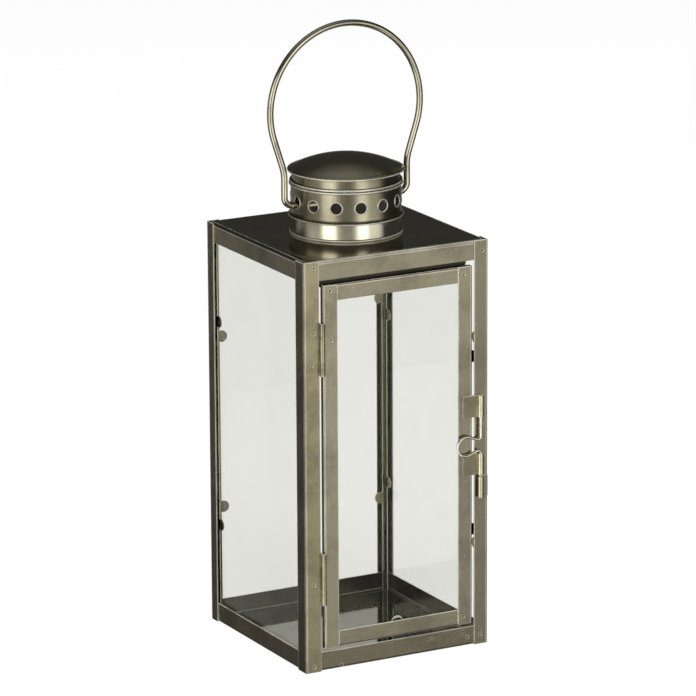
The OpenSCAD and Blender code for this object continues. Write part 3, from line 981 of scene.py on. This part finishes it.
@dataclass(frozen=True)
class Fittings:
    """Hinges, latch plates, keeper and latch wire.

    Args:
        work: How plates are softened.
        leaves: How hinge leaves with their barrels are softened.
        barrel: Depth from the front of a barrel to the flat of its plate, in metres.
    """

    work: SheetWork = SheetWork(soft=0.00009, wear_and_highlight_band=0.00042)
    leaves: SheetWork = SheetWork(soft=0.00009, wear_and_highlight_band=0.0)
    barrel: float = 0.0028

    def build(self) -> None:
        """Dresses the hinges and the latch."""
        edge = WORN_EDGE_AND_HIGHLIGHT.material("fittings")
        cut = CUT_EDGE.material("fittings")
        brass = FITTING_BRASS.material("barrels")
        # The leaves' inner slot holds the near-black painted shade.
        leaf = Dress(brass, edge, cut, NEAR_BLACK_SHADE.material("hinges"))
        bright = LATCH_BRASS.material("latch_barrels")
        plate = Dress(PLATE_BRASS.material("plates"), edge, cut, bright)
        pin = PIN_STEEL.material("hinge_pins")
        for level in ("upper", "lower"):
            for body in ("frame", "door"):
                node = f"hinge_leaf_{body}_{level}"
                self.leaves.piece(node, leaf, body, "fittings", inside=False)
            self._plate(f"latch_plate_{level}", plate, "door")
            dress_wire(f"hinge_pin_{level}", pin, "frame")
        self._plate("latch_keeper", plate, "frame")
        dress_wire("latch_bolt", LATCH_WIRE.material("latch_bolt"), "latch_bolt")

    def _plate(self, node: str, dress: Dress, body: str) -> None:
        """Makes a latch plate, dull on the flat and bright on its barrel.

        Args:
            node: The CAD node.
            dress: Its materials, with the barrel's in place of the inner one.
            body: The body that it rides on.
        """
        made = self.work.piece(node, dress, body, "fittings", inside=False)
        back = min(v.co.y for v in made.data.vertices) + self.barrel
        recolour(
            made,
            Region.INNER,
            lambda face: abs(face.normal.z) < 0.5 and face.center.y < back,
            Region.FACE,
        )


@dataclass(frozen=True)
class Chimney:
    """Collar, vent band, cap skirt and cap, turned like the spun sheet they are.

    Sizes are in metres, and heights above the surface that the lantern stands on.

    Args:
        sheet: Thickness of the sheet.
        roof: Height of the roof.
        collar_r: Outside radius of the collar.
        bead: Radius of a bead in section.
        band_foot: Height of the foot of the vent band.
        band_top: Height of its top.
        band_r: Its outside radius.
        flare: How far its foot flares.
        flare_h: Height of the flare.
        neck_top: Height of the collar's neck inside the band.
        hole_z: Height of the vent holes' centres.
        hole_r: Radius of a vent hole.
        rim: Radius in section of a vent hole's rim.
        holes: Number of vent holes.
        skirt_r: Outside radius of the cap's skirt.
        cap_r: Radius of the dome's edge.
        cap_z: Height of the dome's edge.
        cap_rise: Rise of the dome.
        roll: Radius in section of the cap's rolled edge.
    """

    sheet: float = 0.0006
    roof: float = 0.2430
    collar_r: float = 0.0322
    bead: float = 0.0007
    band_foot: float = 0.2530
    band_top: float = 0.2723
    band_r: float = 0.0320
    flare: float = 0.0016
    flare_h: float = 0.0040
    neck_top: float = 0.2585
    hole_z: float = 0.2628
    hole_r: float = 0.00335
    rim: float = 0.00038
    holes: int = 14
    skirt_r: float = 0.0313
    cap_r: float = 0.0334
    cap_z: float = 0.2799
    cap_rise: float = 0.0083
    roll: float = 0.0006

    def build(self) -> None:
        """Turns and dresses the chimney."""
        edge = WORN_EDGE_AND_HIGHLIGHT.material("chimney")
        # The chimney's inside is painted near-black as shade.
        inside_shade = NEAR_BLACK_SHADE.material("chimney")
        band = BAND_BRONZE.material("chimney")
        pieces = (
            (self._collar(), "chimney_collar", CHIMNEY_BRONZE.material("collar"), "dark_sheet"),
            (self._band(), "vent_band", band, "bronze_sheet"),
            (self._skirt(), "cap_skirt", band, "bronze_sheet"),
            (self._cap(), "cap", DARK_BRONZE.material("cap"), "dark_sheet"),
        )
        for piece, node, face, slot in pieces:
            Dress(face, edge, edge, inside_shade).put_on(piece)
            self._mark(piece)
            hand_over(piece, node, "frame")
        # The vent holes' rims get the bright edge finish all over: painted highlight and wear.
        rims = self._rims()
        rims.data.materials.append(edge)
        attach(rims, "frame")

    def _mark(self, piece: Piece) -> None:
        """Gives beads the worn finish with painted highlight and the inside near-black painted
        shade.

        Args:
            piece: A turned piece.
        """
        beads = (
            (self.collar_r + 0.0001, self.roof + self.bead),
            (self.band_r + self.bead - 0.0003, self.band_top - self.bead),
            (self.skirt_r + 0.0006, self.band_top + 0.0009),
            (self.cap_r, self.cap_z - self.sheet / 2.0),
            (self.band_r + self.flare - 0.00045, self.band_foot + 0.00045),
        )
        for face in piece.data.polygons:
            centre, normal = face.center, face.normal
            around = math.hypot(centre.x, centre.y)
            outward = (centre.x * normal.x + centre.y * normal.y) / max(around, 1.0e-6)
            crest = any(
                math.hypot(around - r, centre.z - z) < 0.00105 and around > r for r, z in beads
            )
            if outward < -0.3 or (normal.z < -0.5 and outward < 0.3):
                face.material_index = Region.INNER
            # Crests of beads facing out get the bright edge finish: painted highlight and wear.
            elif crest and outward > 0.70:
                face.material_index = Region.EDGE
            else:
                face.material_index = Region.FACE

    def _collar(self) -> Piece:
        """Turns the collar with its lip, foot bead and neck."""
        r, lip, under = self.collar_r, self.roof - self.sheet, self.roof - 2.0 * self.sheet
        neck = self.band_r - self.sheet - 0.0002
        turn = self.band_foot + self.flare_h * 0.4
        outline = [
            (r - self.sheet, under),
            (r + 0.0018, under),
            (r + 0.0018, lip),
            (r, lip),
            *arc((r + 0.0001, self.roof + self.bead), self.bead, -82, 82, 13),
            (r, self.roof + 2.6 * self.bead),
            (r, turn - 0.0004),
            *arc((r - 0.0006, turn), 0.0006, 10, 50, 5),
            (neck, turn + 0.0014),
            (neck, self.neck_top),
            (neck - self.sheet, self.neck_top),
            (neck - self.sheet, turn + 0.0014),
            (r - self.sheet, turn),
        ]
        return turned("chimney_collar_dressed", outline, 48.0)

    def _band(self) -> Piece:
        """Turns the vent band and cuts its holes."""
        foot, bend = self.band_foot, self.band_foot + self.flare_h
        reach = self.band_r + self.flare
        curve = [
            (self.band_r + self.flare * (i / 8.0) ** 2, bend - self.flare_h * i / 8.0)
            for i in range(8)
        ]
        inner = [(r - self.sheet, z) for r, z in reversed(curve)]
        top = (self.band_r + self.bead - 0.0003, self.band_top - self.bead)
        outline = [
            (reach - self.sheet, foot),
            *arc((reach - 0.00045, foot + 0.00045), 0.00045, -90, 75, 9),
            *reversed(curve[:-1]),
            (self.band_r, self.band_top - 0.0016),
            *arc(top, self.bead, -75, 90, 13),
            (self.band_r - self.sheet, self.band_top),
            *reversed(inner),
        ]
        piece = turned("vent_band_dressed", outline, 50.0)
        pick(piece)
        bpy.ops.object.duplicate()
        whole = newest("band_without_holes")
        cutter = self._round_the_band(
            lambda: bpy.ops.mesh.primitive_cylinder_add(
                vertices=40,
                radius=self.hole_r,
                depth=0.006,
                location=(self.band_r, 0.0, self.hole_z),
                rotation=(0.0, math.pi / 2.0, 0.0),
            ),
            "hole_cutter",
        )
        cut = piece.modifiers.new("holes", "BOOLEAN")
        cut.operation = "DIFFERENCE"
        cut.solver = "EXACT"
        cut.object = cutter
        apply_modifiers(piece)
        carry = piece.modifiers.new("even_shading", "DATA_TRANSFER")
        carry.object = whole
        carry.use_loop_data = True
        carry.data_types_loops = {"CUSTOM_NORMAL"}
        carry.loop_mapping = "POLYINTERP_NEAREST"
        apply_modifiers(piece)
        for helper in (cutter, whole):
            bpy.data.objects.remove(helper, do_unlink=True)
        return piece

    def _rims(self) -> Piece:
        """Makes the raised rims of all vent holes as one piece."""
        rims = self._round_the_band(
            lambda: bpy.ops.mesh.primitive_torus_add(
                major_segments=40,
                minor_segments=12,
                major_radius=self.hole_r + 0.8 * self.rim,
                minor_radius=self.rim,
                location=(self.band_r - 0.4 * self.rim, 0.0, self.hole_z),
                rotation=(0.0, math.pi / 2.0, 0.0),
            ),
            "vent_rims",
        )
        smooth(rims, 60.0)
        return rims

    def _round_the_band(self, add: Callable[[], Any], name: str) -> Piece:
        """Repeats a shape at each vent hole and joins the copies.

        Args:
            add: Adds the shape at the first hole.
            name: Name of the joined piece.

        Returns:
            The joined piece, at the origin.
        """
        deselect()
        add()
        first = newest(name)
        bpy.ops.object.transform_apply()
        copies = [first]
        for number in range(1, self.holes):
            pick(first)
            bpy.ops.object.duplicate()
            copy = newest(f"{name}_{number}")
            copy.rotation_euler = (0.0, 0.0, math.tau * number / self.holes)
            bpy.ops.object.transform_apply()
            copies.append(copy)
        deselect()
        for copy in copies:
            copy.select_set(True)
        bpy.context.view_layer.objects.active = first
        bpy.ops.object.join()
        return newest(name)

    def _dome(self) -> tuple[float, float]:
        """Gives the dome's radius and the height of its centre."""
        radius = (self.cap_r**2 + self.cap_rise**2) / (2.0 * self.cap_rise)
        return radius, self.cap_z + self.cap_rise - radius

    def _skirt(self) -> Piece:
        """Turns the skirt with its bead."""
        foot = self.band_top - 0.0020
        radius, centre = self._dome()
        top = centre + math.sqrt((radius - self.sheet) ** 2 - self.skirt_r**2) - 0.0001
        bead = self.bead + 0.0002
        place = (self.skirt_r + bead - 0.0003, self.band_top + bead)
        outline = [
            (self.skirt_r - self.sheet, foot),
            (self.skirt_r, foot),
            (self.skirt_r, self.band_top),
            *arc(place, bead, -90, 125, 17),
            (self.skirt_r, self.band_top + 2.3 * bead),
            (self.skirt_r, top),
            (self.skirt_r - self.sheet, top),
        ]
        return turned("cap_skirt_dressed", outline, 48.0)

    def _cap(self) -> Piece:
        """Turns the domed cap with its rolled edge."""
        radius, centre = self._dome()
        rings = 20
        radii = [self.cap_r * i / rings for i in range(rings + 1)]
        over = [(r, centre + math.sqrt(radius**2 - r**2)) for r in radii]
        inner = radius - self.sheet
        under = [(r, centre + math.sqrt(inner**2 - r**2)) for r in radii[:-1]]
        edge = (self.cap_r, self.cap_z - self.sheet / 2.0)
        outline = [
            *over[:-1],
            *arc(edge, self.roll, 62, -180, 17),
            *reversed(under),
        ]
        return turned("cap_dressed", outline, 60.0)


@dataclass(frozen=True)
class Handle:
    """The carrying handle of plated wire."""

    def build(self) -> None:
        """Dresses the handle."""
        dress_wire("bail", HANDLE_WIRE.material("handle"), "bail")


# Studio


@dataclass(frozen=True)
class Glow:
    """A soft bright patch of the studio, as the lantern's metal mirrors it.

    Args:
        azimuth: Direction in degrees, 0 in front and 90 to the right.
        half: Half of its width, in degrees.
        soft: Softness of its sides, in degrees.
        low: Sine of the elevation where it starts.
        high: Sine of the elevation where it ends.
        power: Its brightness.
        fade: Softness of its top and bottom, as a sine.
    """

    azimuth: float
    half: float
    soft: float
    low: float
    high: float
    power: float
    fade: float = 0.1

    def light(self, x: Shade, y: Shade, z: Shade) -> Shade:
        """Gives the patch's light for a direction.

        Args:
            x: Direction to the right, on the level.
            y: Direction to the rear, on the level.
            z: Sine of the elevation.

        Returns:
            The brightness.
        """
        turn = math.radians(self.azimuth)
        towards = x * math.sin(turn) - y * math.cos(turn)
        outer = math.cos(math.radians(min(180.0, self.half + self.soft)))
        inner = math.cos(math.radians(max(0.0, self.half - self.soft)))
        across = towards.ramp(outer, inner)
        rise = z.ramp(self.low - self.fade, self.low + self.fade)
        if self.high < 1.0:
            rise = rise * z.ramp(self.high - self.fade, self.high + self.fade, 1.0, 0.0)
        return across * rise * self.power


@dataclass(frozen=True)
class Studio:
    """Camera, pale floor, white surround and soft light.

    Args:
        azimuth: The camera's azimuth in degrees, 0 in front.
        elevation: The camera's elevation in degrees.
        roll: The camera's roll in degrees.
        distance: Distance from the target in metres.
        target_height: Height of the target in metres.
        target_side: The target's offset to the right in metres.
        lens: Focal length in millimetres on a 36 mm sensor.
        floor_light: Own light of the floor.
        glows: Bright patches of the surround.
        gloom: Brightness between them.
        card_light: Brightness of the card behind that the floor inside mirrors.
    """

    azimuth: float = -28.4041
    elevation: float = 14.9221
    roll: float = -0.3094
    distance: float = 2.95173
    target_height: float = 0.1722816
    target_side: float = 0.0006735
    lens: float = 262.568
    floor_light: float = 0.91
    glows: tuple[Glow, ...] = (
        Glow(-64, 13, 7, -1.2, 0.42, 1.45),
        Glow(-80, 34, 14, -1.2, 0.38, 0.44),
        Glow(7, 9, 6, -1.2, 0.45, 0.91),
        Glow(20, 27, 10, -0.29, 0.35, 0.91),
        Glow(-26, 34, 8, -1.2, 0.40, 0.28),
        Glow(180, 48, 20, -0.31, -0.05, 0.20),
        Glow(100, 26, 14, -1.2, -0.45, 0.50),
        Glow(150, 30, 14, -1.2, -0.50, 0.50),
        Glow(0, 180, 1, 0.82, 1.20, 0.26, 0.26),
    )
    gloom: float = 0.040
    card_light: float = 0.66

    def build(self) -> None:
        """Builds the studio."""
        self._camera()
        self._floor()
        self._surround()
        self._world()
        self._lamps()
        bpy.context.scene.view_settings.view_transform = "Standard"

    def _camera(self) -> None:
        """Puts the camera where the photograph was taken."""
        a, e, r = (math.radians(v) for v in (self.azimuth, self.elevation, self.roll))
        back = Vector((math.sin(a) * math.cos(e), -math.cos(a) * math.cos(e), math.sin(e)))
        right = Vector((math.cos(a), math.sin(a), 0.0))
        up = back.cross(right)
        side = right * math.cos(r) + up * math.sin(r)
        top = up * math.cos(r) - right * math.sin(r)
        target = Vector((0.0, 0.0, self.target_height)) + side * self.target_side
        place = target + back * self.distance
        data = bpy.data.cameras.new("photograph")
        data.lens = self.lens
        data.sensor_width = 36.0
        data.sensor_fit = "HORIZONTAL"
        data.clip_start, data.clip_end = 0.05, 60.0
        camera = bpy.data.objects.new("photograph", data)
        turn = Matrix((side, top, back)).transposed().to_4x4()
        camera.matrix_world = Matrix.Translation(place) @ turn
        bpy.context.scene.collection.objects.link(camera)
        bpy.context.scene.camera = camera

    def _floor(self) -> None:
        """Lays a pale floor that takes a faint shadow."""
        deselect()
        bpy.ops.mesh.primitive_circle_add(vertices=96, radius=4.0, fill_type="NGON")
        floor = newest("floor")
        t = new_material("pale_floor")
        own = t.white("ShaderNodeEmission", Strength=self.floor_light)
        lit = t.node("ShaderNodeBsdfDiffuse", {"Color": (0.16, 0.16, 0.16)})
        t.to_surface("ShaderNodeAddShader", {0: own, 1: lit})
        put_on(floor, t.material)
        floor.visible_glossy = False
        floor.visible_diffuse = False

    def _surround(self) -> None:
        """Sets a white ball round the studio and a card behind, as seen through panes."""
        deselect()
        bpy.ops.mesh.primitive_uv_sphere_add(segments=64, ring_count=32, radius=9.0)
        ball = newest("white_surround")
        smooth(ball, 60.0)
        deselect()
        bpy.ops.mesh.primitive_plane_add(
            size=1.0, location=(-0.20, 0.5, 0.25), rotation=(math.pi / 2.0, 0.0, 0.0)
        )
        card = newest("card_behind")
        card.dimensions = (1.0, 0.5, 0.0)
        card.visible_camera = False
        self._light_up(ball, 1.0, mirrored=False)
        self._light_up(card, self.card_light, mirrored=True)

    @staticmethod
    def _light_up(piece: Piece, light: float, mirrored: bool) -> None:
        """Makes a piece white in the mirror of metal only, or everywhere but there.

        Args:
            piece: The ball or the card.
            light: Its brightness.
            mirrored: True to show it in the mirror of metal only.
        """
        t = new_material(piece.name)
        depth = t.node("ShaderNodeLightPath", output="Glossy Depth").ramp(0.2, 0.8)
        white = t.white("ShaderNodeEmission", Strength=light)
        clear = t.white("ShaderNodeBsdfTransparent")
        plain, seen = (clear, white) if mirrored else (white, clear)
        t.to_surface("ShaderNodeMixShader", {0: depth, 1: plain, 2: seen})
        put_on(piece, t.material)
        piece.visible_glossy = False
        piece.visible_diffuse = False
        piece.visible_shadow = False

    def _world(self) -> None:
        """Makes the light of the studio, patch by patch."""
        world = bpy.data.worlds.new("studio")
        bpy.context.scene.world = world
        world.use_nodes = True
        t = FinishTree(world.node_tree)
        unit = t.vector("NORMALIZE", t.node("ShaderNodeTexCoord", output="Generated"))
        x, y, z = (t.node("ShaderNodeSeparateXYZ", {0: unit}, output=axis) for axis in "XYZ")
        level = (x * x + y * y + 1.0e-6) ** 0.5
        total = z * 0.0 + self.gloom
        for glow in self.glows:
            total = total + glow.light(x / level, y / level, z)
        t.to_surface("ShaderNodeBackground", {"Color": (1.0, 0.99, 0.97), "Strength": total})

    def _lamps(self) -> None:
        """Adds one broad overhead lamp for a soft shadow."""
        data = bpy.data.lights.new("overhead", "AREA")
        data.shape = "DISK"
        data.size = 1.8
        data.energy = 56.0
        lamp = bpy.data.objects.new("overhead", data)
        lamp.location = (-0.4, -0.8, 2.2)
        aim = Vector((0.0, 0.0, 0.1)) - lamp.location
        lamp.rotation_euler = aim.to_track_quat("-Z", "Y").to_euler()
        lamp.visible_glossy = False
        bpy.context.scene.collection.objects.link(lamp)


def main() -> None:
    """Builds every sub-assembly in order and logs each one."""
    logging.basicConfig(level=logging.INFO, format="%(name)s: %(message)s")
    Studio().build()
    for part in (Case(), Glazing(), Door(), Fittings(), Chimney(), Handle()):
        part.build()
        log.info("%s built", type(part).__name__)


if __name__ == "__main__":
    main()
